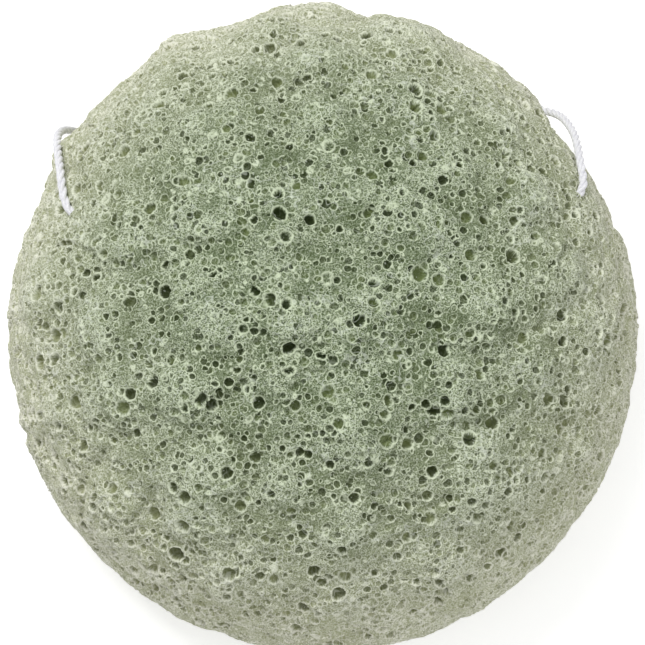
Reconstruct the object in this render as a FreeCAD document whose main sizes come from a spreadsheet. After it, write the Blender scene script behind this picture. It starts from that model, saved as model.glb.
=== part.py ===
import FreeCAD, Part
import math
import os

# A konjac sponge: half a ball of soft plant foam, with a cotton hanging string tied through it.
# Millimetres, +Z up. The origin is on the table, under the middle of the sponge.
# The string goes straight through the sponge along X, and its loop lies behind the sponge, at +Y.

document = FreeCAD.newDocument("konjac_sponge")

# Driving dimensions
SIZES = (
    ("sponge_width", 80.0),     # across the sponge, along the string's hole
    ("sponge_depth", 83.0),     # front to back
    ("belly_height", 10.0),     # height at which the sponge is widest
    ("dome_rise", 27.2),        # from the widest height to the crown, between the mounds
    ("small_mound", 6.8),       # radius of the ball that a small mound is the top of
    ("small_mound_rise", 0.8),  # how far it stands out of the dome
    ("middle_mound", 9.5),
    ("middle_mound_rise", 1.1),
    ("large_mound", 14.0),
    ("large_mound_rise", 1.3),
    ("foot_inset", 6.0),        # how far the flat underside's edge lies inside the widest line, at the sides
    ("string_diameter", 1.1),
    ("string_clearance", 0.05), # between the string and its hole, all round
    ("hole_back", 13.3),        # the hole's line, behind the middle of the sponge
    ("hole_height", 23.4),      # the hole's line, above the table
    ("mouth_depth", 4.0),       # how far inside the surface the string starts to bend
    ("mouth_reach", 5.0),       # how far outside the surface the mouth's cone ends
    ("mouth_radius", 5.2),      # of that cone, where it ends
    ("knot_back", 41.4),        # the knot's middle, behind the middle of the sponge
    ("knot_length", 4.4),       # between the knot's two flat ends
    ("knot_swell", 6.0),        # length that the knot's round form would have without those ends
    ("knot_width", 4.0),        # front to back
    ("knot_thickness", 2.6),
    ("strand_gap", 0.1),        # between a leg of the loop and the tail beside it, at the knot
)

# Sizes that follow from the driving ones
DERIVED = (
    # half the way through the sponge on the hole's line
    ("hole_half", "=sponge_width / 2 * sqrt(1 - (2 * hole_back / sponge_depth)^2"
                  " - ((hole_height - belly_height) / dome_rise)^2)"),
    ("core_half", "=hole_half - mouth_depth"),
    # how deep the belly's round would reach if the table didn't flatten it
    ("belly_drop", "=belly_height / sqrt(1 - (1 - 2 * foot_inset / sponge_width)^2)"),
    ("strand_offset", "=(string_diameter + strand_gap) / 2"),
)

sheet = document.addObject("Spreadsheet::Sheet", "sizes")
for row, (name, content) in enumerate(SIZES + DERIVED, start=1):
    sheet.set(f"A{row}", name)
    sheet.set(f"B{row}", str(content))
    sheet.setAlias(f"B{row}", name)
document.recompute()


def bind(item, **expressions):
    """Tie properties of an object to expressions in the sheet's names."""
    for path, expression in expressions.items():
        item.setExpression(path.replace("__", "."), expression)
    return item


def along_x():
    """The turn that lays a primitive's own Z axis along +X."""
    return FreeCAD.Rotation(FreeCAD.Vector(0, 1, 0), 90)


# The sponge: a crown over a drawn-in belly, flat underneath

crown = document.addObject("Part::Ellipsoid", "crown")
crown.Angle1 = 0
crown.Angle2 = 90
bind(crown, Radius1="sizes.dome_rise", Radius2="sizes.sponge_width / 2", Radius3="sizes.sponge_depth / 2",
     Placement__Base__z="sizes.belly_height")

belly = document.addObject("Part::Ellipsoid", "belly")
belly.Angle1 = -90
belly.Angle2 = 0
bind(belly, Radius1="sizes.belly_drop", Radius2="sizes.sponge_width / 2", Radius3="sizes.sponge_depth / 2",
     Placement__Base__z="sizes.belly_height")

# The mounds that the foam swells into: turn about the vertical and rise from the widest line, both in
# degrees, and which size
MOUNDS = (
    (-168, 69, "large"), (-48, 78, "middle"), (-133, 81, "middle"), (33, 72, "large"), (126, 79, "middle"),
    (-14, 61, "middle"), (38, 59, "small"), (62, 50, "middle"), (85, 61, "middle"), (112, 67, "small"),
    (149, 66, "middle"), (123, 54, "middle"), (141, 54, "small"), (164, 50, "middle"), (-172, 46, "middle"),
    (22, 47, "middle"), (3, 43, "middle"), (41, 41, "small"), (107, 47, "small"), (86, 45, "middle"),
    (131, 39, "small"), (100, 30, "middle"), (70, 30, "large"), (122, 26, "middle"), (-42, 60, "middle"),
    (-78, 63, "large"), (-113, 70, "small"), (-143, 58, "middle"), (-22, 47, "small"), (-52, 41, "large"),
    (-86, 45, "middle"), (-104, 52, "small"), (-122, 43, "large"), (-156, 44, "middle"), (-8, 30, "middle"),
    (-30, 24, "small"), (-68, 27, "middle"), (-92, 24, "small"), (-112, 29, "middle"), (-138, 24, "middle"),
    (-160, 28, "small"), (176, 29, "middle"),
)


def mound(number, turn, rise, size):
    """A ball sunk into the dome, so that its top stands out by the rise of its size."""
    across = math.cos(math.radians(rise)) * math.cos(math.radians(turn))
    back = math.cos(math.radians(rise)) * math.sin(math.radians(turn))
    up = math.sin(math.radians(rise))
    lean = (f"({across} / (sizes.sponge_width / 2))", f"({back} / (sizes.sponge_depth / 2))",
            f"({up} / sizes.dome_rise)")
    steep = f"sqrt({lean[0]}^2 + {lean[1]}^2 + {lean[2]}^2)"
    sunk = f"(sizes.{size}_mound - sizes.{size}_mound_rise) / {steep}"
    ball = document.addObject("Part::Sphere", f"mound_{number}")
    return bind(ball, Radius=f"sizes.{size}_mound",
                Placement__Base__x=f"{across} * sizes.sponge_width / 2 - {sunk} * {lean[0]}",
                Placement__Base__y=f"{back} * sizes.sponge_depth / 2 - {sunk} * {lean[1]}",
                Placement__Base__z=f"sizes.belly_height + {up} * sizes.dome_rise - {sunk} * {lean[2]}")


round_foam = document.addObject("Part::MultiFuse", "round_foam")
round_foam.Shapes = [crown, belly] + [mound(number, *place) for number, place in enumerate(MOUNDS, start=1)]
round_foam.Refine = True

below_table = document.addObject("Part::Box", "below_table")
bind(below_table, Length="sizes.sponge_width", Width="sizes.sponge_depth", Height="sizes.belly_drop",
     Placement__Base__x="-sizes.sponge_width / 2", Placement__Base__y="-sizes.sponge_depth / 2",
     Placement__Base__z="-sizes.belly_drop")

foam = document.addObject("Part::Cut", "foam")
foam.Base = round_foam
foam.Tool = below_table

# The string's way through: a close hole, opening into a cone at each mouth so that the loop can swing

hole = document.addObject("Part::Cylinder", "hole")
hole.Placement.Rotation = along_x()
bind(hole, Radius="sizes.string_diameter / 2 + sizes.string_clearance", Height="2 * sizes.hole_half",
     Placement__Base__x="-sizes.hole_half", Placement__Base__y="sizes.hole_back",
     Placement__Base__z="sizes.hole_height")


def mouth(name, side):
    """The cone at one end of the hole, side -1 on the left and 1 on the right."""
    cone = document.addObject("Part::Cone", name)
    cone.Placement.Rotation = FreeCAD.Rotation(FreeCAD.Vector(0, 1, 0), 90 * side)
    return bind(cone, Radius1="sizes.string_diameter / 2 + sizes.string_clearance",
                Radius2="sizes.mouth_radius", Height="sizes.mouth_depth + sizes.mouth_reach",
                Placement__Base__x=f"{side} * sizes.core_half", Placement__Base__y="sizes.hole_back",
                Placement__Base__z="sizes.hole_height")


way = document.addObject("Part::MultiFuse", "way")
way.Shapes = [hole, mouth("mouth_left", -1), mouth("mouth_right", 1)]

sponge = document.addObject("Part::Cut", "sponge")
sponge.Base = foam
sponge.Tool = way
sponge.Label = "sponge_body"

# The string's straight stretch inside the sponge, which the loop swings on

core = document.addObject("Part::Cylinder", "core")
core.Label = "string_core"
core.Placement.Rotation = along_x()
bind(core, Radius="sizes.string_diameter / 2", Height="2 * sizes.core_half",
     Placement__Base__x="-sizes.core_half", Placement__Base__y="sizes.hole_back",
     Placement__Base__z="sizes.hole_height")

# The knot that closes the loop, with a flat end to each side

round_knot = document.addObject("Part::Ellipsoid", "round_knot")
round_knot.Angle1 = -90
round_knot.Angle2 = 90
round_knot.Placement.Rotation = along_x()
bind(round_knot, Radius1="sizes.knot_swell / 2", Radius2="sizes.knot_thickness / 2",
     Radius3="sizes.knot_width / 2", Placement__Base__y="sizes.knot_back",
     Placement__Base__z="sizes.knot_thickness / 2")

knot_ends = document.addObject("Part::Box", "knot_ends")
bind(knot_ends, Length="sizes.knot_length", Width="sizes.knot_width", Height="sizes.knot_thickness",
     Placement__Base__x="-sizes.knot_length / 2", Placement__Base__y="sizes.knot_back - sizes.knot_width / 2")

knot = document.addObject("Part::Common", "knot")
knot.Base = round_knot
knot.Tool = knot_ends
knot.Label = "string_knot"

document.recompute()

# The free string: straight runs joined by the largest tangent arcs that the runs allow

RUN_SHARE = 0.45


def corner(before, point, after):
    """The arc at a point of a route: where it starts, its middle, where it ends, its radius."""
    arriving = (point - before).normalize()
    leaving = (after - point).normalize()
    half_turn = arriving.getAngle(leaving) / 2
    tangent = RUN_SHARE * min((point - before).Length, (after - point).Length)
    radius = tangent / math.tan(half_turn)
    inward = (leaving - arriving).normalize()
    middle = point + inward * (radius / math.cos(half_turn) - radius)
    return point - arriving * tangent, middle, point + leaving * tangent, radius


def tube(label, points, diameter):
    """A round tube along a route, as an object of the document."""
    route = [FreeCAD.Vector(*point) for point in points]
    edges = []
    radii = []
    reached = route[0]
    for before, point, after in zip(route, route[1:], route[2:]):
        start, middle, end, radius = corner(before, point, after)
        edges.append(Part.LineSegment(reached, start).toShape())
        edges.append(Part.Arc(start, middle, end).toShape())
        radii.append(radius)
        reached = end
    edges.append(Part.LineSegment(reached, route[-1]).toShape())
    path = Part.Wire(edges)
    section = Part.Wire(Part.makeCircle(diameter / 2, route[0], route[1] - route[0]))
    piece = document.addObject("Part::Feature", label)
    piece.Label = label
    piece.Shape = path.makePipeShell([section], True, False)
    expected = math.pi * diameter ** 2 / 4 * path.Length
    print(label, "length", round(path.Length, 1), "volume share", round(piece.Shape.Volume / expected, 4))
    print("  radii", [round(radius, 1) for radius in radii])
    return piece


# Places along each leg, first from the mouth (outwards, back, up), then from the origin (sideways, back, up)
LEFT_AT_MOUTH = ((-0.9, 0.0, 0.0), (1.7, 2.2, -1.2), (1.6, 6.0, -3.4), (1.2, 9.9, -8.0), (-0.2, 13.2, -13.8))
LEFT_ON_TABLE = ((30.3, 28.8, 4.0), (26.4, 31.9, 1.1), (20.6, 35.7, 0.7), (14.0, 38.7, 0.72), (8.4, 40.4, 0.95))
RIGHT_AT_MOUTH = ((-0.9, 0.0, 0.0), (1.7, 2.4, -0.9), (1.8, 6.2, -3.0), (1.3, 9.6, -7.6), (0.0, 13.3, -13.4))
RIGHT_ON_TABLE = ((29.8, 29.4, 4.4), (25.2, 32.8, 1.2), (19.2, 36.4, 0.72), (13.2, 39.0, 0.7), (8.2, 40.3, 1.0))
# Places along each tail of the knot, from the origin (sideways, back, up)
LEFT_TAIL = ((7.4, 42.2, 0.95), (9.9, 42.1, 0.65))
RIGHT_TAIL = ((7.0, 42.25, 0.9), (9.0, 42.3, 0.65))
# The straight run of a leg or tail where it meets the knot
KNOT_RUN = 2.6


def at_knot(side, row):
    """The two ends of the straight run at the knot, for a strand in front (-1) or behind (1)."""
    face = sheet.knot_length / 2
    back = sheet.knot_back + row * sheet.strand_offset
    height = sheet.knot_thickness / 2
    return (side * face, back, height), (side * (face + KNOT_RUN), back, height)


def leg(label, side, at_mouth, on_table):
    """One free stretch of the string, from the end of its core to the knot."""
    points = [(side * sheet.core_half, sheet.hole_back, sheet.hole_height)]
    for outward, back, up in at_mouth:
        points.append((side * (sheet.hole_half + outward), sheet.hole_back + back, sheet.hole_height + up))
    for sideways, back, up in on_table:
        points.append((side * sideways, back, up))
    face, lead = at_knot(side, -1)
    return tube(label, points + [lead, face], sheet.string_diameter)


def tail(label, side, on_table):
    """One short end of the string, from the knot to its cut."""
    face, lead = at_knot(side, 1)
    points = [face, lead] + [(side * sideways, back, up) for sideways, back, up in on_table]
    return tube(label, points, sheet.string_diameter)


pieces = [
    sponge,
    core,
    knot,
    leg("string_left", -1, LEFT_AT_MOUTH, LEFT_ON_TABLE),
    leg("string_right", 1, RIGHT_AT_MOUTH, RIGHT_ON_TABLE),
    tail("tail_left", -1, LEFT_TAIL),
    tail("tail_right", 1, RIGHT_TAIL),
]
document.recompute()

# Every object has to be sound before a piece is written

for item in document.Objects:
    if "Invalid" in item.State or "Error" in item.State:
        raise RuntimeError(f"{item.Label} failed: {item.State}")
for piece in pieces:
    if piece.Shape.isNull() or not piece.Shape.isValid():
        raise RuntimeError(f"{piece.Label} has no valid shape")

os.makedirs("parts", exist_ok=True)
for piece in pieces:
    piece.Shape.exportStep(f"parts/{piece.Label}.step")
    box = piece.Shape.optimalBoundingBox()
    print(piece.Label, "solids", len(piece.Shape.Solids), "volume", round(piece.Shape.Volume, 2),
          "box", [round(edge, 2) for edge in (box.XMin, box.XMax, box.YMin, box.YMax, box.ZMin, box.ZMax)])
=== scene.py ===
# %% [markdown]
# A konjac sponge is half a ball of soft plant foam with a cotton string tied through it, to hang it up wet.
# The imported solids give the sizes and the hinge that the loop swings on, so they come first, as a frame.
# Everything below dresses that frame: foam with real pores in place of the smooth dome, and a twisted string
# with a tied knot in place of the plain tubes.

# %% Load the frame
import functools
import math

import bmesh
import bpy
import numpy as np
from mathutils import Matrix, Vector


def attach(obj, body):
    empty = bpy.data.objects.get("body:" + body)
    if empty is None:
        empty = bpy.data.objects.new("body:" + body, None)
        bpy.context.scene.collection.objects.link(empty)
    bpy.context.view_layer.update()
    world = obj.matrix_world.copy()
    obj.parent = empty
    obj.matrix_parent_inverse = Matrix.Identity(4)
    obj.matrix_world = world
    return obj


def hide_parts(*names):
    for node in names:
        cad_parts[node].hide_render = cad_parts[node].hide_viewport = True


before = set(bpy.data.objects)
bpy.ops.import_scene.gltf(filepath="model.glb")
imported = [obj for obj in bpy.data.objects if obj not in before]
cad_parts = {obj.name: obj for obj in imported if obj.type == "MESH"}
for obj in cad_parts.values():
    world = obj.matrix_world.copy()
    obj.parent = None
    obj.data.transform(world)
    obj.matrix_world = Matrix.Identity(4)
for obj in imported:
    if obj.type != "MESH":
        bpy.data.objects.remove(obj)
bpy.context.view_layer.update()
MM = 0.001


# %% [markdown]
# The photograph looks down on the sponge from steeply above its front, with a long lens.
# The camera could be placed by eye, but its place follows from three things that can be measured there:
# how wide the sponge is in pixels, where its middle lies, and how far apart in height the two mouths
# of the string are.

# %% Camera
FRAME_PIXELS = 645
PIXELS_PER_MM = 7.875
SENSOR_WIDTH = 36.0
VIEW_DISTANCE = 0.52
NEAREST_SEEN = 0.01
VIEW_RISE = math.radians(76)
VIEW_TURN = math.radians(-2.3)
BELLY_HEIGHT = 10 * MM
AIM_ABOVE_MIDDLE = 0.7 * MM

level_ahead = Vector((-math.sin(VIEW_TURN), math.cos(VIEW_TURN), 0))
sight = level_ahead * math.cos(VIEW_RISE) - Vector((0, 0, math.sin(VIEW_RISE)))
image_up = level_ahead * math.sin(VIEW_RISE) + Vector((0, 0, math.cos(VIEW_RISE)))
aim = Vector((0, 0, BELLY_HEIGHT)) + image_up * AIM_ABOVE_MIDDLE

camera_data = bpy.data.cameras.new("camera")
camera_data.sensor_width = SENSOR_WIDTH
camera_data.lens = SENSOR_WIDTH * VIEW_DISTANCE / (FRAME_PIXELS / PIXELS_PER_MM * MM)
camera_data.clip_start = NEAREST_SEEN
camera = bpy.data.objects.new("camera", camera_data)
camera.location = aim - sight * VIEW_DISTANCE
camera.rotation_euler = sight.to_track_quat("-Z", "Y").to_euler()
bpy.context.collection.objects.link(camera)
bpy.context.scene.camera = camera
print("lens", round(camera_data.lens), "mm")

# %% [markdown]
# The string leaves a hole on each side, drops over the sponge's shoulder to the table and is tied behind it.
# Its line is a smooth curve that the points of the route pull towards themselves, as a soft string would lie.
# A plain tube along it would look like wire, so the curve is only read for its points, and three strands
# are wound round them.

# %% Routes of the two legs
CORE_HALF = 28.36
HOLE_HALF = 32.36
HOLE_BACK = 13.3
HOLE_HEIGHT = 23.4
CURVE_STEPS = 24
# from the origin: sideways, back, up
LEFT_SHOULDER = (
    (29.6, 12.8, 23.5), (30.6, 12.3, 23.6), (31.6, 14.2, 23.1), (31.95, 16.6, 22.4), (32.2, 19.4, 20.8),
    (32.6, 22.4, 18.0), (32.8, 25.2, 14.8), (32.5, 27.2, 11.0), (31.5, 28.3, 7.4),
)
RIGHT_SHOULDER = (
    (30.6, 12.8, 23.5), (32.2, 12.0, 23.6), (33.15, 13.6, 23.1), (33.2, 15.2, 22.5), (33.1, 17.2, 21.2),
    (33.05, 19.6, 19.2), (33.0, 22.5, 15.9), (32.3, 25.7, 11.7), (31.4, 27.9, 7.7),
)
LEFT_ON_TABLE = (
    (30.3, 28.8, 4.0), (26.4, 31.9, 1.1), (20.6, 35.7, 0.7), (14.0, 38.7, 0.72), (8.4, 40.4, 0.95),
)
RIGHT_ON_TABLE = (
    (29.8, 29.4, 4.4), (25.2, 32.8, 1.2), (19.2, 36.4, 0.72), (13.2, 39.0, 0.7), (8.2, 40.3, 1.0),
)
AT_KNOT = ((4.8, 40.8, 1.3), (2.2, 40.8, 1.3))


def leg_route(side, shoulder, on_table):
    """The places that one leg's curve is drawn towards, from inside the sponge to the knot, in metres."""
    places = ((CORE_HALF, HOLE_BACK, HOLE_HEIGHT),) + shoulder + on_table + AT_KNOT
    return [Vector((side * sideways, back, up)) * MM for sideways, back, up in places]


def read_curve(name, places, steps=CURVE_STEPS):
    """Points along the smooth curve that has these places as its control points."""
    curve = bpy.data.curves.new(name, "CURVE")
    curve.dimensions = "3D"
    curve.resolution_u = steps
    spline = curve.splines.new("NURBS")
    spline.points.add(len(places) - 1)
    for point, place in zip(spline.points, places):
        point.co = (*place, 1)
    spline.order_u = 3
    spline.use_endpoint_u = True
    holder = bpy.data.objects.new(name, curve)
    line = bpy.data.meshes.new_from_object(holder)
    points = [vertex.co.copy() for vertex in line.vertices]
    bpy.data.meshes.remove(line)
    bpy.data.objects.remove(holder)
    bpy.data.curves.remove(curve)
    return points


def length_of(points):
    """How long a line of points is."""
    return sum((after - before).length for before, after in zip(points, points[1:]))


left_line = read_curve("left_line", leg_route(-1, LEFT_SHOULDER, LEFT_ON_TABLE))
right_line = read_curve("right_line", leg_route(1, RIGHT_SHOULDER, RIGHT_ON_TABLE))
for name, line in (("left", left_line), ("right", right_line)):
    print(name, "leg", round(length_of(line) / MM, 1), "mm,", len(line), "points")

# %% [markdown]
# The string is three soft yarns laid round each other. Each yarn is a thin bevelled curve that runs round
# the string's own line like a screw thread, and the three are joined into one mesh.
# Where a string is cut, its yarns part a little, so an end can flare.

# %% Twisting three yarns into a string
STRING_DIAMETER = 1.1 * MM
YARNS = 3
YARN_RADIUS = 0.285 * MM
YARN_OFFSET = STRING_DIAMETER / 2 - YARN_RADIUS
YARN_ROUNDNESS = 3
LAY = 4.6 * MM
FLARE_LENGTH = 1.6 * MM


def carried_frames(points):
    """For each point, how far along it lies and two directions across the line that don't spin about it."""
    across = (points[1] - points[0]).orthogonal().normalized()
    travelled = 0.0
    frames = []
    for index, point in enumerate(points):
        before = points[max(index - 1, 0)]
        after = points[min(index + 1, len(points) - 1)]
        along = (after - before).normalized()
        across = (across - along * across.dot(along)).normalized()
        if index:
            travelled += (point - before).length
        frames.append((point, travelled, across.copy(), along.cross(across)))
    return frames


def twisted_string(name, points, flare=0.0):
    """A mesh of three yarns wound round a line; flare says how far they part at the line's last end."""
    curve = bpy.data.curves.new(name, "CURVE")
    curve.dimensions = "3D"
    curve.bevel_depth = YARN_RADIUS
    curve.bevel_resolution = YARN_ROUNDNESS
    curve.use_fill_caps = True
    frames = carried_frames(points)
    total = frames[-1][1]
    for yarn in range(YARNS):
        spline = curve.splines.new("POLY")
        spline.points.add(len(frames) - 1)
        for node, (point, travelled, across, beside) in zip(spline.points, frames):
            turn = 2 * math.pi * (travelled / LAY + yarn / YARNS)
            parting = flare * max(0.0, 1 - (total - travelled) / FLARE_LENGTH) ** 2
            offset = (across * math.cos(turn) + beside * math.sin(turn)) * YARN_OFFSET * (1 + parting)
            node.co = (*(point + offset), 1)
    piece = bpy.data.objects.new(name, curve)
    bpy.context.collection.objects.link(piece)
    bpy.ops.object.select_all(action="DESELECT")
    piece.select_set(True)
    bpy.context.view_layer.objects.active = piece
    bpy.ops.object.convert(target="MESH")
    bpy.ops.object.shade_smooth()
    print(name, len(piece.data.polygons), "faces")
    return bpy.context.object


string_left = twisted_string("string_left_twist", left_line)
string_right = twisted_string("string_right_twist", right_line)

# %% [markdown]
# Inside the foam the string runs straight from mouth to mouth. Nobody sees it there, but the loop turns
# on it, so it is the same twisted string and not a bare rod.

# %% The stretch inside the sponge
CORE_STEPS = 60

core_places = [Vector((sideways, HOLE_BACK, HOLE_HEIGHT)) * MM for sideways in (-CORE_HALF, 0, CORE_HALF)]
string_inside = twisted_string("string_inside", read_curve("core_line", core_places, CORE_STEPS))

# %% [markdown]
# The two ends are tied in a reef knot: each end makes a bight, and each bight passes through the other.
# One bight is drawn as a curve, and the other is the same curve turned half round about the line
# from front to back. The tails leave beside the legs they belong to and end in a cut.

# %% The knot and its tails
TAIL_FLARE = 0.9
KNOT_MIDDLE = Vector((0, 41.4, 1.3))
# from the knot's middle: sideways, back, up
BIGHT = (
    (-2.2, -0.6, 0.0), (-1.35, -0.62, -0.7), (0.0, -1.0, 0.85), (1.15, -1.3, -0.3), (1.65, -0.6, -0.65),
    (1.65, 0.6, -0.65), (1.15, 1.3, -0.3), (0.0, 1.0, 0.85), (-1.35, 0.62, -0.7), (-2.2, 0.62, 0.0),
)
# from the origin: sideways, back, up
LEFT_TAIL = ((4.8, 42.0, 1.2), (7.4, 42.2, 0.8), (9.9, 42.1, 0.65))
RIGHT_TAIL = ((4.8, 42.0, 1.2), (7.0, 42.25, 0.75), (9.0, 42.3, 0.65))


def knot_half(name, side, tail):
    """One end of the string, through the knot and along its tail; side is -1 on the left, 1 on the right."""
    places = [KNOT_MIDDLE + Vector((-side * sideways, back, -side * up)) for sideways, back, up in BIGHT]
    places += [Vector((side * sideways, back, up)) for sideways, back, up in tail]
    return twisted_string(name, read_curve(name, [place * MM for place in places]), TAIL_FLARE)


def join_into(kept, *others):
    """Join meshes into the first one."""
    bpy.ops.object.select_all(action="DESELECT")
    for item in (kept, *others):
        item.select_set(True)
    bpy.context.view_layer.objects.active = kept
    bpy.ops.object.join()
    return kept


knot = knot_half("string_knot_tied", -1, LEFT_TAIL)
join_into(knot, knot_half("right_half", 1, RIGHT_TAIL))
print("knot", len(knot.data.polygons), "faces")

# %% [markdown]
# Finishes are built from nodes. A chain of Math nodes is easier to read as a sum, so one small class stands
# for the output of a node and lets Python's arithmetic add the nodes. The same class writes the node tree
# that carves the foam, so one recipe can place a pore in the mesh and colour it in the finish.

# %% Wires between nodes


class Wire:
    """One output of a node. Arithmetic on it adds Math nodes to the same tree."""

    def __init__(self, recipe, socket):
        self.recipe = recipe
        self.socket = socket

    def maths(self, operation, *values):
        return self.recipe.add("ShaderNodeMath", {"operation": operation}, dict(enumerate(values)))

    def __add__(self, other):
        return self.maths("ADD", self, other)

    def __radd__(self, other):
        return self.maths("ADD", other, self)

    def __sub__(self, other):
        return self.maths("SUBTRACT", self, other)

    def __rsub__(self, other):
        return self.maths("SUBTRACT", other, self)

    def __mul__(self, other):
        return self.maths("MULTIPLY", self, other)

    def __rmul__(self, other):
        return self.maths("MULTIPLY", other, self)

    def __truediv__(self, other):
        return self.maths("DIVIDE", self, other)

    def __pow__(self, other):
        return self.maths("POWER", self, other)

    def __abs__(self):
        return self.maths("ABSOLUTE", self)

    def above(self, other):
        return self.maths("GREATER_THAN", self, other)

    def most(self, other):
        return self.maths("MAXIMUM", self, other)

    def rise(self, low, high):
        """0 up to low, 1 from high on, and a soft step between them."""
        return self.recipe.add("ShaderNodeMapRange", {"interpolation_type": "SMOOTHSTEP"},
                               {"Value": self, "From Min": low, "From Max": high})

    def fall(self, low, high):
        """1 up to low, 0 from high on."""
        return 1 - self.rise(low, high)

    def also(self, output):
        """Another output of the same node."""
        return Wire(self.recipe, self.socket.node.outputs[output])

    def feed(self, node, name):
        """Plug this wire into a socket of a node that is there already."""
        self.recipe.tree.links.new(self.socket, node.inputs[name])


# %% [markdown]
# Every node is added in the same three moves: make it, set its options, fill its sockets. A second class does
# that once for all node types, and gives the nodes that this sponge needs often a short name of their own.

# %% Recipes of nodes


class Recipe:
    """A node tree that is being written, for a finish or for a mesh."""

    def __init__(self, tree):
        self.tree = tree

    def add(self, kind, settings=None, sockets=None, output=0):
        """A node of any type: its settings, the values or wires of its sockets, and the output wanted."""
        node = self.tree.nodes.new(kind)
        for name, value in (settings or {}).items():
            setattr(node, name, value)
        for key, value in (sockets or {}).items():
            if isinstance(value, Wire):
                self.tree.links.new(value.socket, node.inputs[key])
            else:
                node.inputs[key].default_value = value
        return Wire(self, node.outputs[output]) if node.outputs else None

    def mix(self, share, first, second):
        """A colour that goes from first to second as share goes from 0 to 1."""
        # of the node's sockets, 0 is the share and 6 and 7 are its colours, and output 2 is the mixed colour
        return self.add("ShaderNodeMix", {"data_type": "RGBA"}, {0: share, 6: first, 7: second}, 2)

    def noise(self, place, size, detail=2.0, roughness=0.5):
        """Cloudy noise with features of about this size, from 0 to 1."""
        return self.add("ShaderNodeTexNoise", None,
                        {"Vector": place, "Scale": 1 / size, "Detail": detail, "Roughness": roughness})

    def drift(self, place, size):
        """A direction that wanders with the place, from -0.5 to 0.5 along each axis."""
        return self.vector("SUBTRACT", self.noise(place, size, detail=1.0).also("Color"), (0.5, 0.5, 0.5))

    def vector(self, operation, first, second):
        return self.add("ShaderNodeVectorMath", {"operation": operation}, {0: first, 1: second})

    def scaled(self, vector, factor):
        return self.add("ShaderNodeVectorMath", {"operation": "SCALE"}, {0: vector, "Scale": factor})

    def length(self, vector):
        return self.add("ShaderNodeVectorMath", {"operation": "LENGTH"}, {0: vector}, "Value")

    def along(self, vector, axis):
        """What a vector measures along X, Y or Z."""
        return self.add("ShaderNodeSeparateXYZ", None, {0: vector}, axis)


def colour(red, green, blue):
    """A colour given as on a screen, 0 to 255, as the nodes want it: the sRGB curve is undone."""
    linear = [((value / 255 + 0.055) / 1.055) ** 2.4 if value > 10 else value / 255 / 12.92
              for value in (red, green, blue)]
    return (*linear, 1.0)


def new_finish(name):
    """An empty finish: the material, its recipe and its surface shader."""
    material = bpy.data.materials.new(name)
    material.use_nodes = True
    shader = material.node_tree.nodes["Principled BSDF"]
    return material, Recipe(material.node_tree), shader


def dress(piece, material):
    """Give a piece this finish and no other."""
    piece.data.materials.clear()
    piece.data.materials.append(material)
    print(piece.name, "wears", material.name, "with", len(material.node_tree.nodes), "nodes")


# %% [markdown]
# The string is plain bleached cotton: white, dull, a little grey where the yarns meet, with fine fibres along
# each yarn. The yarns are real, so the finish only adds the fibres, which run along the yarn's own map,
# and a faint mottle.

# %% Cotton finish
FIBRES_ALONG_YARN = (90.0, 14.0, 1.0)
FIBRE_EDGE = (0.35, 0.7)
MOTTLE_SIZE = 0.6 * MM
MOTTLE_EDGE = (0.45, 0.75)
MOTTLE_SHARE = 0.4
FUZZ_HEIGHT = 0.05 * MM
COTTON_SHADOW = colour(214, 214, 220)
COTTON_WHITE = colour(246, 246, 247)
COTTON_GREY = colour(226, 226, 228)

cotton, recipe, shader = new_finish("white_cotton")
yarn_map = recipe.add("ShaderNodeUVMap", {"uv_map": "UVMap"})
along_yarn = recipe.add("ShaderNodeMapping", None, {"Vector": yarn_map, "Scale": FIBRES_ALONG_YARN})
fibres = recipe.noise(along_yarn, 1.0, detail=3.0, roughness=0.6)
spot = recipe.add("ShaderNodeTexCoord", None, None, "Object")
mottle = recipe.noise(spot, MOTTLE_SIZE, detail=3.0, roughness=0.6)
pale = recipe.mix(fibres.rise(*FIBRE_EDGE), COTTON_SHADOW, COTTON_WHITE)
recipe.mix(mottle.rise(*MOTTLE_EDGE) * MOTTLE_SHARE, pale, COTTON_GREY).feed(shader, "Base Color")
fuzz = {"Strength": 0.6, "Distance": FUZZ_HEIGHT, "Height": fibres + mottle}
recipe.add("ShaderNodeBump", None, fuzz).feed(shader, "Normal")
shader.inputs["Roughness"].default_value = 0.92
shader.inputs["Specular IOR Level"].default_value = 0.2
shader.inputs["Sheen Weight"].default_value = 0.15

for piece in (string_left, string_right, string_inside, knot):
    dress(piece, cotton)

# %% [markdown]
# The sponge starts as a cube that is divided and blown up to a ball, because its squares stay even, which a
# globe's do not at the poles. The ball is stretched to the sponge's width, depth and height, its lower half
# is drawn in, and what would be under the table is pressed flat.

# %% The sponge's round form
HALF_WIDTH = 40.0 * MM
HALF_DEPTH = 41.5 * MM
DOME_RISE = 27.2 * MM
BELLY_DROP = 18.98 * MM
CAGE_CUTS = 31


def pick(piece, wanted):
    """Select the vertices of the mesh in edit mode that a test wants."""
    cage = bmesh.from_edit_mesh(piece.data)
    cage.select_mode = {"VERT"}
    for vertex in cage.verts:
        vertex.select = wanted(vertex.co)
    cage.select_flush_mode()
    bmesh.update_edit_mesh(piece.data)


def stretch(across, back, up):
    """Stretch what is picked, measured from the origin."""
    bpy.ops.transform.resize(value=(across, back, up), center_override=(0, 0, 0))


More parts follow.
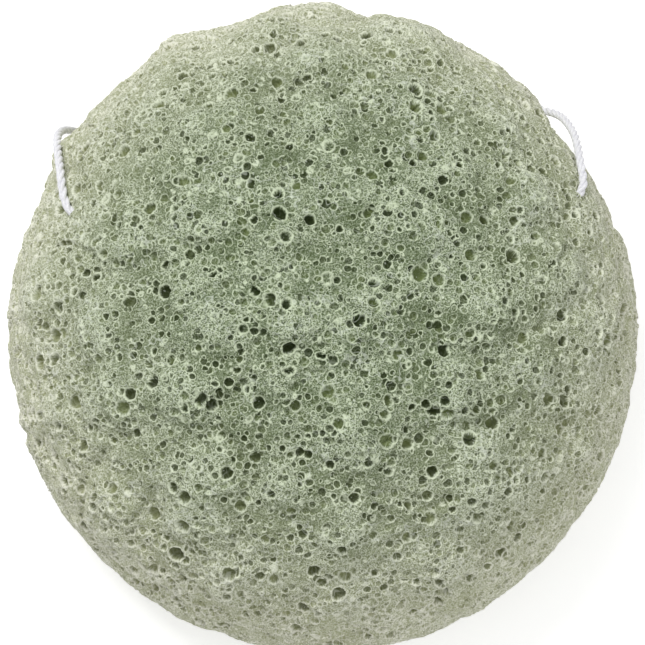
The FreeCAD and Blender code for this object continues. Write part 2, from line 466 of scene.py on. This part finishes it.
bpy.ops.object.select_all(action="DESELECT")
bpy.ops.mesh.primitive_cube_add(size=2)
sponge = bpy.context.object
sponge.name = "foam_sponge"
sponge.data.name = "foam_sponge"
bpy.ops.object.mode_set(mode="EDIT")
bpy.ops.mesh.subdivide(number_cuts=CAGE_CUTS)
bpy.ops.transform.tosphere(value=1)
ball = next(iter(bmesh.from_edit_mesh(sponge.data).verts)).co.length
stretch(HALF_WIDTH / ball, HALF_DEPTH / ball, DOME_RISE / ball)
pick(sponge, lambda place: place.z < 0)
stretch(1, 1, BELLY_DROP / DOME_RISE)
pick(sponge, lambda place: True)
bpy.ops.transform.translate(value=(0, 0, BELLY_HEIGHT))
pick(sponge, lambda place: place.z < 0)
stretch(1, 1, 0)
print("round form", len(bmesh.from_edit_mesh(sponge.data).faces), "faces")

# %% [markdown]
# No two of these sponges are alike: each has its own hollows and swellings from the mould.
# A sculpting brush would push them by hand, and proportional editing does the same in code: one vertex is
# moved in or out and takes its neighbours with it.

# %% Hollows and swellings
SAME_PLACE = 1e-7
# where (sideways, back, up), how far out, and how wide
PUSHES = (
    ((31.5, 23.0, 13.0), -1.4, 11.0),
    ((36.0, 14.0, 15.0), -0.9, 9.0),
    ((33.0, 11.5, 23.0), 0.5, 7.0),
    ((-17.0, 37.0, 13.0), 1.7, 7.0),
    ((0.0, 41.0, 13.0), 1.3, 9.0),
    ((8.5, 40.5, 13.0), -0.9, 5.0),
    ((-33.5, 20.5, 15.0), -1.5, 7.0),
    ((-22.8, 33.6, 12.0), -1.2, 4.5),
    ((-37.0, 14.0, 12.0), -0.8, 7.0),
    ((-32.4, 12.0, 23.8), -0.9, 10.0),
    ((-32.6, 22.8, 15.5), 1.7, 5.0),
)


def push(piece, place, distance, width):
    """Move the vertex nearest to a place outwards, with its neighbours."""
    cage = bmesh.from_edit_mesh(piece.data)
    target = Vector(place) * MM
    nearest = min(cage.verts, key=lambda vertex: (vertex.co - target).length)
    outward = nearest.normal.copy()
    middle = nearest.co.copy()
    pick(piece, lambda spot: (spot - middle).length < SAME_PLACE)
    bpy.ops.transform.translate(value=outward * distance * MM, use_proportional_edit=True,
                                proportional_edit_falloff="SMOOTH", proportional_size=width * MM)


for place, distance, width in PUSHES:
    push(sponge, place, distance, width)
bpy.ops.object.mode_set(mode="OBJECT")
print("pushed at", len(PUSHES), "places")

# %% [markdown]
# Moist konjac foam swells unevenly, so the crown is a field of mounds. Each mound is the top of a ball that
# is sunk into the dome, with the place and the size that it has in the solid, so both show the same lumps.

# %% Mounds
BALL_DIVISIONS = 5
DOME_DIVISIONS = 2
# the ball's radius and how far it stands out of the dome
MOUND_SIZES = {
    "small": (6.8 * MM, 0.8 * MM),
    "middle": (9.5 * MM, 1.1 * MM),
    "large": (14.0 * MM, 1.3 * MM),
}
# turn about the vertical and rise from the widest line, both in degrees, and which size
MOUNDS = (
    (-168, 69, "large"), (-48, 78, "middle"), (-133, 81, "middle"), (33, 72, "large"), (126, 79, "middle"),
    (-14, 61, "middle"), (38, 59, "small"), (62, 50, "middle"), (85, 61, "middle"), (112, 67, "small"),
    (149, 66, "middle"), (123, 54, "middle"), (141, 54, "small"), (164, 50, "middle"), (-172, 46, "middle"),
    (22, 47, "middle"), (3, 43, "middle"), (41, 41, "small"), (107, 47, "small"), (86, 45, "middle"),
    (131, 39, "small"), (100, 30, "middle"), (70, 30, "large"), (122, 26, "middle"), (-42, 60, "middle"),
    (-78, 63, "large"), (-113, 70, "small"), (-143, 58, "middle"), (-22, 47, "small"), (-52, 41, "large"),
    (-86, 45, "middle"), (-104, 52, "small"), (-122, 43, "large"), (-156, 44, "middle"), (-8, 30, "middle"),
    (-30, 24, "small"), (-68, 27, "middle"), (-92, 24, "small"), (-112, 29, "middle"), (-138, 24, "middle"),
    (-160, 28, "small"), (176, 29, "middle"),
)


def mound_ball(turn, rise, size):
    """The ball of one mound, sunk into the dome."""
    radius, stand = MOUND_SIZES[size]
    level = math.cos(math.radians(rise))
    way = Vector((level * math.cos(math.radians(turn)), level * math.sin(math.radians(turn)),
                  math.sin(math.radians(rise))))
    on_dome = Vector((way.x * HALF_WIDTH, way.y * HALF_DEPTH, BELLY_HEIGHT + way.z * DOME_RISE))
    outward = Vector((way.x / HALF_WIDTH, way.y / HALF_DEPTH, way.z / DOME_RISE)).normalized()
    centre = on_dome - outward * (radius - stand)
    bpy.ops.mesh.primitive_ico_sphere_add(subdivisions=BALL_DIVISIONS, radius=radius, location=centre)
    return bpy.context.object


def apply_modifier(piece, name, kind, **settings):
    """Add a modifier with these settings and apply it."""
    modifier = piece.modifiers.new(name, kind)
    for key, value in settings.items():
        setattr(modifier, key, value)
    bpy.context.view_layer.objects.active = piece
    bpy.ops.object.modifier_apply(modifier=modifier.name)


apply_modifier(sponge, "round off", "SUBSURF", levels=DOME_DIVISIONS, render_levels=DOME_DIVISIONS)
join_into(sponge, *[mound_ball(*place) for place in MOUNDS])
print("with", len(MOUNDS), "balls", len(sponge.data.polygons), "faces")

# %% [markdown]
# A voxel remesh melts the balls and the dome into one skin, and smoothing rounds the creases between the
# mounds. Pores need a dense and even mesh, so a second and finer remesh lays small squares of one size all
# over, and a pore looks the same wherever it falls.

# %% An even skin
MELT_VOXEL = 0.5 * MM
SKIN_VOXEL = 0.2 * MM
CREASE_SMOOTHINGS = 5

apply_modifier(sponge, "melt together", "REMESH", mode="VOXEL", voxel_size=MELT_VOXEL)
apply_modifier(sponge, "soft creases", "SMOOTH", factor=0.5, iterations=CREASE_SMOOTHINGS)
apply_modifier(sponge, "even skin", "REMESH", mode="VOXEL", voxel_size=SKIN_VOXEL)
print("even skin", len(sponge.data.polygons), "faces")

# %% [markdown]
# The foam set around bubbles of many sizes, and those that broke open at the skin are its pores.
# Voronoi noise scatters points evenly without a pattern, one in a cell, and gives every cell numbers of its
# own, so each cell can hold one pore or none. Three such scatterings, small, middling and wide, lie over
# each other. A recipe that takes a place serves twice: it carves the mesh here, and it colours the same
# pores in the finish below.

# %% Recipes for pores
# the cell's width, the smallest and the largest radius, and the share of the cells that hold a pore
PORES = {
    "small": (0.95 * MM, 0.25 * MM, 0.54 * MM, 0.8),
    "middling": (1.5 * MM, 0.36 * MM, 0.66 * MM, 0.68),
    "wide": (2.8 * MM, 0.52 * MM, 1.0 * MM, 0.7),
}
# the size of the noise and how far it shifts a place
WANDERINGS = ((0.9 * MM, 0.4 * MM), (0.3 * MM, 0.1 * MM))
CROWDING_PATCH = 6 * MM
CROWDING = 0.9
FAR_FROM_PORES = 9
RIM_START = (0.9, 1.03)
RIM_CREST = 1.06
HOLLOW_POWER = 0.6


def wandering(recipe, place):
    """The place, shifted a little by noise, so that no pore is a perfect circle."""
    for size, distance in WANDERINGS:
        place = recipe.vector("ADD", place, recipe.scaled(recipe.drift(place, size), distance))
    return place


def bubbles(recipe, place, cell, smallest, largest, share):
    """How far out in its nearest pore a place is, 1 at the pore's edge, its radius and a number of its own.

    Each cell holds a pore with a radius from smallest to largest, in a share of the cells that is given
    for the whole sponge, and that is larger in some places than in others."""
    near = recipe.add("ShaderNodeTexVoronoi", None, {"Vector": place, "Scale": 1 / cell}, "Distance")
    chance = recipe.along(near.also("Color"), "X")
    radius = smallest + (largest - smallest) * chance.also("Y")
    here = share + (recipe.noise(place, CROWDING_PATCH, detail=1.0) - 0.5) * CROWDING
    return near * cell / radius + chance.above(here) * FAR_FROM_PORES, radius, chance.also("Z")


def hollow(reach):
    """A round hollow: 1 in the middle of a pore, 0 at its edge and outside."""
    return (1 - reach * reach).most(0) ** HOLLOW_POWER


def rim(reach, width):
    """A thin ring just outside a pore's edge."""
    return reach.rise(*RIM_START) * reach.fall(RIM_CREST, RIM_CREST + width)


print(len(PORES), "sizes of pores:", *PORES)

# %% [markdown]
# A geometry-node modifier moves the vertices. First it lets the mounds drift out of round, raises lesser
# lumps on them, draws creases and presses in the two mouths that the string comes out of.
# It keeps the places of this lumpy shape as an attribute, so the finish can find the same pores later.

# %% Lumps, creases and the string's mouths
DRIFT_SIZE = 9 * MM
DRIFT_REACH = 5.0 * MM
LUMP_SIZE = 3.8 * MM
LUMP_HEIGHT = 1.6 * MM
LUMPS_FADE = (1 * MM, 14 * MM)
CREASE_SPACING = 13 * MM
CREASE_WIDTH = 0.07
CREASE_DEPTH = 0.5 * MM
MOUTH_DEPTH = 0.5 * MM
MOUTH_EDGE = (0.4 * MM, 1.3 * MM)
CALM_AT_MOUTH = (2.5 * MM, 7 * MM)
SIDES_FROM = 20 * MM


def creases(recipe, place):
    """Shallow wrinkles that wander over the foam: 1 on their line."""
    return abs(recipe.noise(place, CREASE_SPACING, detail=1.0) - 0.5).fall(0.0, CREASE_WIDTH)


carving = bpy.data.node_groups.new("foam_carving", "GeometryNodeTree")
carving.interface.new_socket("Geometry", in_out="INPUT", socket_type="NodeSocketGeometry")
carving.interface.new_socket("Geometry", in_out="OUTPUT", socket_type="NodeSocketGeometry")
recipe = Recipe(carving)
skin = recipe.add("NodeGroupInput")
spot = recipe.add("GeometryNodeInputPosition")
outward = recipe.add("GeometryNodeInputNormal")
height = recipe.along(spot, "Z")

from_hole = recipe.vector("SUBTRACT", spot, (0, HOLE_BACK * MM, HOLE_HEIGHT * MM))
off_axis = recipe.length(recipe.vector("MULTIPLY", from_hole, (0, 1, 1)))
at_side = abs(recipe.along(spot, "X")).above(SIDES_FROM)
mouth = off_axis.fall(*MOUTH_EDGE) * at_side
free = height.rise(*LUMPS_FADE) * (1 - off_axis.fall(*CALM_AT_MOUTH) * at_side)

drift = recipe.drift(spot, DRIFT_SIZE)
outwards = recipe.add("ShaderNodeVectorMath", {"operation": "DOT_PRODUCT"}, {0: drift, 1: outward}, "Value")
sideways_drift = recipe.vector("SUBTRACT", drift, recipe.scaled(outward, outwards))
lesser = recipe.noise(spot, LUMP_SIZE) - 0.5
shift = (lesser * LUMP_HEIGHT - creases(recipe, spot) * CREASE_DEPTH) * free - mouth * MOUTH_DEPTH
out_shift = recipe.scaled(outward, shift)
offset = recipe.vector("ADD", out_shift, recipe.scaled(sideways_drift, free * DRIFT_REACH))
lumpy = recipe.add("GeometryNodeSetPosition", None, {"Geometry": skin, "Offset": offset})
lumpy = recipe.add("GeometryNodeStoreNamedAttribute", {"data_type": "FLOAT_VECTOR", "domain": "POINT"},
                   {"Geometry": lumpy, "Name": "bare_place", "Value": spot})
print("lumps and mouths", len(carving.nodes), "nodes")

# %% [markdown]
# The same modifier then sinks the pores, each as deep as suits its size, and raises a thin wall round each.
# Bump in the finish could fake them, but at the sponge's edge a pore has to bite into the outline.

# %% Sinking the pores
# a pore's depth for its radius
PORE_DEPTH = {"small": 0.8, "middling": 1.1, "wide": 1.3}
RIM_HEIGHT = 0.07 * MM
RIM_WIDTH = 0.3
DENT_SIZE = 0.5 * MM
DENT_DEPTH = 0.5 * MM
GRIT_SIZE = 0.7 * MM
GRIT_HEIGHT = 0.24 * MM
FOOT_FADE = (0.1 * MM, 1.2 * MM)

around = wandering(recipe, spot)
hollows = [(recipe.noise(spot, DENT_SIZE, detail=1.0) - 0.5).most(0) * DENT_DEPTH]
rims = []
for size, scatter in PORES.items():
    reach, radius, _ = bubbles(recipe, around, *scatter)
    hollows.append(hollow(reach) * radius * PORE_DEPTH[size])
    rims.append(rim(reach, RIM_WIDTH))
sunk = functools.reduce(Wire.most, hollows)
ridge = functools.reduce(Wire.most, rims)
grit = (recipe.noise(spot, GRIT_SIZE) - 0.5) * GRIT_HEIGHT
relief = (grit + ridge * RIM_HEIGHT) * height.rise(*FOOT_FADE) - sunk
pore_offset = recipe.scaled(outward, relief)
carved = recipe.add("GeometryNodeSetPosition", None, {"Geometry": lumpy, "Offset": pore_offset})
recipe.add("NodeGroupOutput", None, {0: carved})

apply_modifier(sponge, "foam carving", "NODES", node_group=carving)
bpy.ops.object.select_all(action="DESELECT")
sponge.select_set(True)
bpy.ops.object.shade_smooth()
print("carved", len(sponge.data.vertices), "vertices with", len(carving.nodes), "nodes")

# %% [markdown]
# A finish that is baked into pictures needs a flat map of the sponge. Unwrapping
# half a million carved faces would take long and cut them to pieces. The places that the points had before
# the pores were sunk lie on a dome that is only lumpy, so that dome is laid out flat from its crown, like a
# globe from its pole, with the underside beside it.

# %% A flat map of the sponge
# the middle, sideways and up, and the radius of each disc of the map
CROWN_DISC = (0.4, 0.6, 0.39)
FOOT_DISC = (0.86, 0.14, 0.13)
FOOT_HEIGHT = 0.3 * MM
# how far the map runs on from the widest line to the table, and the most of that way that is mapped
BELLY_RUN = 0.6
LOWEST_BELOW = 1.1
SMALLEST_LEVEL = 1e-6
mesh = sponge.data


def read(items, name, kind, width=1):
    """One property of all items of a mesh, as an array."""
    values = np.empty(len(items) * width, kind)
    items.foreach_get(name, values)
    return values.reshape(-1, width) if width > 1 else values


bare = read(mesh.attributes["bare_place"].data, "vector", np.float32, 3)
vertex_of = read(mesh.loops, "vertex_index", np.int32)
corners = read(mesh.polygons, "loop_total", np.int32)
face_of = np.repeat(np.arange(len(corners)), corners)
place = bare[vertex_of]
east = place[:, 0] / HALF_WIDTH
north = place[:, 1] / HALF_DEPTH
level = np.hypot(east, north)
climb = (place[:, 2] - BELLY_HEIGHT) / DOME_RISE
below = np.clip((BELLY_HEIGHT - place[:, 2]) / BELLY_HEIGHT, 0, LOWEST_BELOW)
from_crown = np.where(climb > 0, np.arctan2(level, climb), math.pi / 2 + BELLY_RUN * below)
from_crown = from_crown / (math.pi / 2 + BELLY_RUN * LOWEST_BELOW)
on_foot = (np.bincount(face_of, place[:, 2]) / corners < FOOT_HEIGHT)[face_of]
centre_x = np.where(on_foot, FOOT_DISC[0], CROWN_DISC[0])
centre_y = np.where(on_foot, FOOT_DISC[1], CROWN_DISC[1])
spread = np.where(on_foot, FOOT_DISC[2], CROWN_DISC[2] * from_crown / np.maximum(level, SMALLEST_LEVEL))
flat = np.stack((centre_x + spread * east, centre_y + spread * north), axis=1)
mesh.uv_layers.new(name="OFBake").data.foreach_set("uv", flat.astype(np.float32).ravel())
print("map from", flat.min(axis=0).round(2), "to", flat.max(axis=0).round(2))
print(int(on_foot.sum()), "corners of faces are on the foot's disc")

# %% [markdown]
# The foam's colours are greyed greens: a pale lace of walls, mid-green between them, olive where a pore goes
# deep. Towards the flanks every colour is painted paler, nearly cream, as painted light for the sponge's
# brighter
# edge, so every colour comes in two: one for the crown and one for the lit flanks. Painting an image would
# fix the pores to one picture, so the finish works everything out from the place that each point had before
# the pores were sunk.

# %% Colours of the foam
FLANK_HEIGHTS = (14 * MM, 38 * MM)

foam, recipe, shader = new_finish("konjac_foam_skin")
spot = recipe.add("ShaderNodeAttribute", {"attribute_name": "bare_place"}, None, "Vector")
# painted light: 1 low on the flanks, which are painted paler for the sponge's brighter edge, 0 on the crown
lit_flank = recipe.along(spot, "Z").fall(*FLANK_HEIGHTS)


def shade(crown, side):
    """A colour on the crown that turns into a paler one on the flanks: painted light for the sponge's
    brighter edge.
    """
    return recipe.mix(lit_flank, colour(*crown), colour(*side))


fill_dark = shade((70, 83, 50), (156, 160, 124))
fill_mid = shade((145, 158, 121), (212, 214, 188))
wall_pale = shade((206, 217, 188), (236, 236, 220))
grain_pale = shade((192, 204, 172), (228, 229, 210))
cup_yellow = shade((106, 120, 70), (172, 174, 130))
# dark olive inside the pores, partly painted shade in their hollows
olive_and_pore_shade = shade((42, 53, 24), (104, 110, 66))
# green of painted shade in valleys and creases, and of damp patches
shade_and_damp_green = shade((92, 107, 72), (166, 170, 134))
# pale fibres and grains, and the painted highlight of the glint specks
pale_fibre_and_glint = shade((216, 224, 209), (234, 235, 224))
print("colours of the foam", len(recipe.tree.nodes), "nodes")

# %% [markdown]
# Valleys between the mounds and creases are painted greener and darker than the mounds, as painted shade, and
# damp patches at random places are greener and darker too.
# How shady a place is follows from the dome: a place that stands out of it is on a mound, and one that
# doesn't is in a valley. Where it is shady, the pale walls and grains that come next are held back.

# %% Painted shade in valleys and creases, and damp patches
MOUND_SWELL = (0.0 * MM, 1.2 * MM)
DAMP_PATCH = 4.5 * MM
DAMP_EDGE = (0.42, 0.62)
VALLEY_SHADE = 0.62
CREASE_SHADE = 0.7
DAMP_SHADE = 0.55
HELD_BACK = 0.64
LESS_ON_FLANK = 0.24

from_middle = recipe.vector("SUBTRACT", spot, (0, 0, BELLY_HEIGHT))
on_ball = recipe.vector("DIVIDE", from_middle, (HALF_WIDTH, HALF_DEPTH, DOME_RISE))
swell = (recipe.length(on_ball) - 1) * DOME_RISE
valley = swell.fall(*MOUND_SWELL)
damp = recipe.noise(spot, DAMP_PATCH).rise(*DAMP_EDGE)
# painted shade: valleys and creases are darker and greener; damp patches lie at random
shady = (valley * VALLEY_SHADE).most(creases(recipe, spot) * CREASE_SHADE) + damp * DAMP_SHADE
crisp = 1 - (HELD_BACK - LESS_ON_FLANK * lit_flank) * shady
print("shade", len(recipe.tree.nodes), "nodes")

# %% [markdown]
# Between the pores the skin is a lace of fibres and the walls of bubbles too small to carve.
# Voronoi noise also says how far a place is from the wall between two cells, which draws those walls, and
# two fine noises lay pale and dark fibres over them.

# %% Fine walls, lace and grain
FINE_CELL = 0.42 * MM
FINE_WALL = (0.03 * MM, 0.08 * MM)
FAINTEST_WALL = 0.3
WALLS_DIFFER = 0.7
DARK_CELLS = (0.0, 0.8)
LACE_SIZE = 0.22 * MM
LACE_PALE = (0.52, 0.6)
LACE_DARK = (0.4, 0.47)
LACE_SHARE = 0.85
GRAIN_SIZE = 0.16 * MM
GRAIN_PALE = (0.53, 0.6)
GRAIN_DARK = (0.39, 0.46)
PALE_GRAIN_SHARE = 0.7
DARK_GRAIN_SHARE = 0.8

around = wandering(recipe, spot)
fine_net = {"Vector": around, "Scale": 1 / FINE_CELL}
fine_wall = recipe.add("ShaderNodeTexVoronoi", {"feature": "DISTANCE_TO_EDGE"}, fine_net) * FINE_CELL
fine_luck = recipe.along(recipe.add("ShaderNodeTexVoronoi", None, fine_net, "Color"), "X")
fine_tint = fine_luck.also("Y")
lace = recipe.noise(spot, LACE_SIZE, detail=3.0, roughness=0.7)
grain = recipe.noise(spot, GRAIN_SIZE, roughness=0.6)

tone = recipe.mix(fine_luck.rise(*DARK_CELLS), fill_dark, fill_mid)
tone = recipe.mix(shady, tone, shade_and_damp_green)
wall_share = FAINTEST_WALL + WALLS_DIFFER * fine_tint
tone = recipe.mix(fine_wall.fall(*FINE_WALL) * wall_share * crisp, tone, wall_pale)
tone = recipe.mix(lace.rise(*LACE_PALE) * LACE_SHARE * crisp, tone, grain_pale)
tone = recipe.mix(lace.fall(*LACE_DARK) * LACE_SHARE, tone, fill_dark)
tone = recipe.mix(grain.rise(*GRAIN_PALE) * PALE_GRAIN_SHARE * crisp, tone, pale_fibre_and_glint)
tone = recipe.mix(grain.fall(*GRAIN_DARK) * DARK_GRAIN_SHARE, tone, fill_dark)
print("lace", len(recipe.tree.nodes), "nodes")

# %% [markdown]
# The pores come over the lace, from the same recipe that carved them: dark olive or yellowish inside, each
# by its own number, with a pale ring round it. The dark olive is partly painted shade in the deep hollow.
# On the lit flanks they are paler, as painted light.

# %% Colouring the pores
# how strongly the inside of a pore is coloured, and how much less where its own number is 1
PORE_SHADE = {"small": (0.85, 0.75), "middling": (0.95, 0.65), "wide": (1.0, 0.25)}
PORE_EDGE = (0.75, 0.95)
OLIVE_TO_YELLOW = (0.3, 0.8)
RING_WIDTH = 0.2
RING_FIBRES = (0.28, 0.46)
FAINT_RINGS = 0.25
PALER_ON_FLANK = 0.4

# painted light: the pores' inside colour is held back on the lit flanks
lit_flank_fade = 1 - PALER_ON_FLANK * lit_flank
for size, (deepest, paler) in PORE_SHADE.items():
    reach, _, chance = bubbles(recipe, around, *PORES[size])
    inside = recipe.mix(chance.rise(*OLIVE_TO_YELLOW), olive_and_pore_shade, cup_yellow)
    ring = rim(reach, RING_WIDTH) * lace.rise(*RING_FIBRES) * (1 - FAINT_RINGS * chance)
    tone = recipe.mix(reach.fall(*PORE_EDGE) * (deepest - paler * chance) * lit_flank_fade, tone, inside)
    tone = recipe.mix(ring, tone, wall_pale)
print("pores", len(recipe.tree.nodes), "nodes")

# %% [markdown]
# Last come a few pale wisps of dried konjac and tiny pale specks, painted highlights that stand for the
# glints of wet foam. The finish is dull, because foam scatters light, and a little bump lets the light catch
# the fibres that are too fine for the mesh.

# %% Wisps, painted glints and the finished foam
WISP_SIZE = 2.6 * MM
WISP_LINE = (0.004, 0.016)
WISP_PATCH = 7 * MM
WISP_PATCH_EDGE = (0.45, 0.6)
WISP_SHARE = 0.5
# the cell's width, the smallest and the largest radius, and the share of the cells, as for the pores
GLINT_SPECKS = (0.5 * MM, 0.08 * MM, 0.14 * MM, 0.3)
SPECK_EDGE = (0.6, 1.0)
SPECK_SHARE = 0.6
BUMP_WALL = (0.03 * MM, 0.14 * MM)
BUMP_HEIGHT = 0.15 * MM

wisp_line = abs(recipe.noise(spot, WISP_SIZE) - 0.5).fall(*WISP_LINE)
wisps = wisp_line * recipe.noise(spot, WISP_PATCH, detail=1.0).rise(*WISP_PATCH_EDGE)
tone = recipe.mix(wisps * WISP_SHARE, tone, pale_fibre_and_glint)
# painted highlight: tiny pale specks that stand for the glints of wet foam
glint_specks = bubbles(recipe, spot, *GLINT_SPECKS)[0].fall(*SPECK_EDGE)
tone = recipe.mix(glint_specks * SPECK_SHARE, tone, pale_fibre_and_glint)
tone.feed(shader, "Base Color")
bumps = lace * 0.6 + grain * 0.3 + fine_wall.fall(*BUMP_WALL) * 0.5
fibre_relief = {"Strength": 0.7, "Distance": BUMP_HEIGHT, "Height": bumps}
recipe.add("ShaderNodeBump", None, fibre_relief).feed(shader, "Normal")
shader.inputs["Roughness"].default_value = 0.75
shader.inputs["Specular IOR Level"].default_value = 0.1
dress(sponge, foam)

# %% [markdown]
# The photograph has a plain white ground. The floor is a white sheet that still takes the sponge's soft
# shadow; for the camera it also glows a little, so that it reads as white without more light on the sponge.

# %% Floor
FLOOR_SIZE = 4
SHEET_GREY = (0.86, 0.86, 0.86, 1)
WHITE = (1, 1, 1, 1)
SHEET_GLOW = 0.45

bpy.ops.object.select_all(action="DESELECT")
bpy.ops.mesh.primitive_plane_add(size=FLOOR_SIZE)
floor = bpy.context.object
floor.name = "floor"
white_sheet, recipe, shader = new_finish("white_sheet")
rays = recipe.add("ShaderNodeLightPath", None, None, "Is Camera Ray")
seen = rays.most(rays.also("Is Glossy Ray")).most(rays.also("Is Transmission Ray"))
sheet = recipe.add("ShaderNodeBsdfDiffuse", None, {"Color": SHEET_GREY})
glow = recipe.add("ShaderNodeEmission", None, {"Color": WHITE, "Strength": SHEET_GLOW})
bright_sheet = recipe.add("ShaderNodeAddShader", None, {0: sheet, 1: glow})
ground = recipe.add("ShaderNodeMixShader", None, {0: seen, 1: sheet, 2: bright_sheet})
recipe.tree.nodes.remove(shader)
ground.feed(recipe.tree.nodes["Material Output"], "Surface")
dress(floor, white_sheet)

# %% [markdown]
# The light in the photograph is soft and comes from all round, a little stronger from the back and the left.
# The world and one large lamp give about equal shares, and a weaker lamp opposite keeps the shadows open.
# The camera sees the world as plain white.

# %% World and lights
SOFT_LIGHT = 0.55
LAMPS_AIM = Vector((0, 0, 0.02))

world = bpy.data.worlds.new("studio")
world.use_nodes = True
recipe = Recipe(world.node_tree)
rays = recipe.add("ShaderNodeLightPath", None, None, "Is Camera Ray")
soft_light = recipe.add("ShaderNodeBackground", None, {"Color": WHITE, "Strength": SOFT_LIGHT})
white = recipe.add("ShaderNodeBackground", None, {"Color": WHITE, "Strength": 1.0})
backdrop = recipe.add("ShaderNodeMixShader", None, {0: rays, 1: soft_light, 2: white})
backdrop.feed(recipe.tree.nodes["World Output"], "Surface")
bpy.context.scene.world = world


def soft_lamp(name, place, width, watts):
    """A square soft lamp that points at the sponge."""
    lamp_data = bpy.data.lights.new(name, "AREA")
    lamp_data.size = width
    lamp_data.energy = watts
    lamp = bpy.data.objects.new(name, lamp_data)
    lamp.location = place
    lamp.rotation_euler = (LAMPS_AIM - Vector(place)).to_track_quat("-Z", "Y").to_euler()
    bpy.context.collection.objects.link(lamp)


soft_lamp("key_lamp", place=(-0.28, 0.42, 0.72), width=0.45, watts=4.6)
soft_lamp("fill_lamp", place=(0.4, -0.35, 0.6), width=0.6, watts=1.2)
bpy.context.scene.view_settings.view_transform = "Standard"
print("world and", len(bpy.data.lights), "lamps")

# %% [markdown]
# Each piece is tied to the body that carries it, so that it moves with the hinge, and says which solids it
# stands for. The two legs end in the knot.


def carry(piece, body, slot, *nodes):
    """Tie a piece to its body, with the solids that it stands for; the slot of its finish is not used."""
    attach(piece, body)
    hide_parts(*nodes)
    print(piece.name, "rides on", body, "for", *nodes)


carry(sponge, "sponge", "konjac_foam", "sponge_body")
carry(string_inside, "loop", "cotton_string", "string_core")
carry(string_left, "loop", "cotton_string", "string_left")
carry(string_right, "loop", "cotton_string", "string_right")
carry(knot, "loop", "cotton_string", "string_knot", "tail_left", "tail_right")
for leg, line, side in ((string_left, left_line, -1), (string_right, right_line, 1)):
    side * HOLE_HALF * MM
